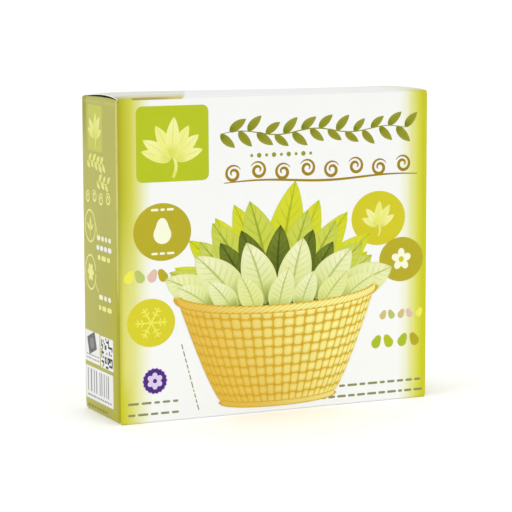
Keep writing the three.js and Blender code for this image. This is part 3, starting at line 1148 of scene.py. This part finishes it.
# The side panels
def drawSideTop():
    addPatch("sideLime", roundedBox(8.4, 130.4, 27.8, 152.9, 1.2))
    drawSprig("creamLeaf", 18.1, 131.8, 19.4, 5, 1.0)
    for start, reach, count, seed in (((7, 125), 21, 9, 14), ((20.5, 115.8), 14, 6, 15)):
        drawGarland("creamLeaf", start, reach, count, 5.6, 2.7, wave=0.5, waves=1, seed=seed)
    drawCurls("paleYellow", (7.6, 107.3), 9.2, 4, 3.2, 0.5)


def drawLeft():
    drawSideTop()
    for v, halfU, halfV in ((93.1, 7.3, 7.8), (70.2, 7.5, 8.5)):
        ring = oval(10.4, v, halfU, halfV, 36)
        addStroke("paleYellow", ring + ring[:2], 0.4)
    for route in ([(17.2, 96), (19, 93.5), (21, 88.5)], [(17, 66), (19, 63.5), (21.5, 61.5)]):
        addStroke("paleYellow", route, 0.3)
    drawSprig("creamLeaf", 10.4, 88, 11, 3, 0.8, 2, 17)
    blossom = polar(10.4, 70.2, lambda a: 2.8 + 1.8 * abs(cos(3 * a)) ** 0.8, 48)
    addPatch("paleYellow", blossom)
    for inkName, place, reach, dashes, seed in (
            ("cream", (20, 88.4), 18.6, 4, 31), ("labelWhite", (19.4, 83.6), 19.4, 4, 32),
            ("paleYellow", (21, 78.8), 16, 3, 33), ("cream", (22, 59.4), 16, 3, 34),
            ("paleYellow", (21.4, 54.2), 17, 3, 35)):
        drawDashes(inkName, place, reach, dashes, 2.5, seed)
    for corners in ((1.4, 24.9, 21.4, 40.6), (22.7, 24.6, 39.6, 40.3), (1.3, 6.3, 39, 22.8)):
        addPatch("labelWhite", roundedBox(*corners, 0.5))
    addPatch("labelMid", roundedBox(5, 30.2, 16.4, 39.2, 0.8, 0.35), 2)
    addPatch("labelGrey", roundedBox(7.8, 32, 13.6, 37.4, 2.4, 0.35), 3)
    drawDashes("labelGrey", (3.2, 28.6), 16.4, 6, 0.6, 36, 2, 1.8, 2)
    plant("squares", "labelDark", (31.2, 32.4), 2, cells=13, pitch=1.14, filled=0.38, seed=6)
    plant("bars", "labelGrey", (4.2, 15.8), 2, bars=9, reach=33, height=11.4, spacing=2.9, seed=5)
    drawDashes("labelGrey", (4, 8.2), 32, 10, 0.8, 37, layer=2)
    drawDashes("footOlive", (3.8, 2.9), 26.8, 7, 1.3, 38)
    layInks("left")


def drawRight():
    drawSideTop()
    addPatch("limeDisc", oval(24, 84, 13, 12))
    drawFlower("cream", "goldDisc", 24, 84, 8.4)
    drawDashes("cream", (6, 62), 36, 6, 1.5, 41, 4, 4.2)
    drawDashes("footOlive", (6, 40), 36, 8, 1.1, 42, 6, 3.4)
    layInks("right")


# The back panel
table = {"left": 22, "foot": 26, "right": 86, "rows": 9, "pitch": 8.4}


def drawBack():
    drawHeading()
    left, foot, right, rows, pitch = table.values()
    head = foot + rows * pitch
    addPatch("paleYellow", roundedBox(left, foot, right, head, 1.5))
    addPatch("tileLime", roundedBox(left, head + 1, right, head + 9, 1.5))
    drawDashes("cream", (left + 5, head + 5), 54, 4, 2.2, 51, layer=2)
    for row in range(rows):
        v = foot + row * pitch
        addStroke("olive", [(u, v) for u in stations(left + 2, right - 2, 5)], 0.2, 2)
        drawDashes("greyOlive", (left + 3, v + pitch / 2), 34, 3, 1.8, 60 + row, layer=2)
        drawDashes("greyOlive", (right - 16, v + pitch / 2), 13, 2, 1.8, 80 + row, layer=2)
    for i, inkName in enumerate(("limeDisc", "goldDisc", "yellowDisc")):
        v = 88 - 24 * i
        addPatch(inkName, oval(104, v, 9, 9))
        drawDashes("greyOlive", (118, v + 5), 30, 4, 1.7, 52 + i, 3, 5)
    drawFlower("cream", "goldDisc", 104, 88, 6)
    drawSprig("creamLeaf", 104, 57.5, 13, 5, 1.0)
    drawSnowflake("cream", 104, 40, 6, 0.4)
    drawDashes("greyOlive", (24, 14), 122, 16, 1.5, 57, 2, 5)
    layInks("back")


for draw in (drawFront, drawLeft, drawRight, drawBack):
    draw()
    print("printed the", draw.__name__[len("draw"):].lower(), "panel")


# Floor, light and camera
def buildStudio():
    floorMesh = bpy.data.meshes.new("studioFloor")
    reach = studio["floorSize"]
    corners = [(x * reach, y * reach, 0) for x, y in ((-1, -1), (1, -1), (1, 1), (-1, 1))]
    floorMesh.from_pydata(corners, [], [(0, 1, 2, 3)])
    material, shader = newMaterial("studioFloorPaint")
    for key, value in studio["floorPaint"].items():
        plug(shader[key], value)
    floorMesh.materials.append(material)
    addObject("studioFloor", floorMesh)
    world = bpy.data.worlds.new("studioWorld")
    world.use_nodes = True
    backdrop = world.node_tree.nodes["Background"].inputs
    plug(backdrop["Color"], (1, 1, 1, 1))
    plug(backdrop["Strength"], studio["worldLight"])
    scene.world = world
    for name, (place, size, power) in studio["softboxes"].items():
        light = bpy.data.lights.new(name, "AREA")
        light.shape = "DISK"
        light.size = size
        light.energy = power
        lamp = addObject(name, light)
        lamp.location = place
        lamp.rotation_euler = (studio["aim"] - Vector(place)).to_track_quat("-Z", "Y").to_euler()


view = {
    "place": (-2.935 * tallness, -6.345 * tallness, 1.399 * tallness),
    "turn": 24.79,  # degrees to the right of straight ahead
    "tilt": -7.52,
    "roll": -0.19,
    "focal": 154.76,
    "sensor": 36,
    "clip": (0.05, 60),
}


def buildCamera():
    turn, tilt = radians(view["turn"]), radians(view["tilt"])
    ahead = Vector((sin(turn) * cos(tilt), cos(turn) * cos(tilt), sin(tilt)))
    right = Vector((cos(turn), -sin(turn), 0))
    up = right.cross(ahead)
    axes = Matrix((right, up, -ahead)).transposed().to_4x4()
    rolled = Matrix.Rotation(radians(view["roll"]), 4, "Z")
    lens = bpy.data.cameras.new("camera")
    lens.lens, lens.sensor_width = view["focal"], view["sensor"]
    lens.clip_start, lens.clip_end = view["clip"]
    camera = addObject("camera", lens)
    camera.matrix_world = Matrix.Translation(view["place"]) @ axes @ rolled
    scene.camera = camera


buildStudio()
buildCamera()
scene.view_settings.view_transform = "Standard"
print("set the studio and the camera")
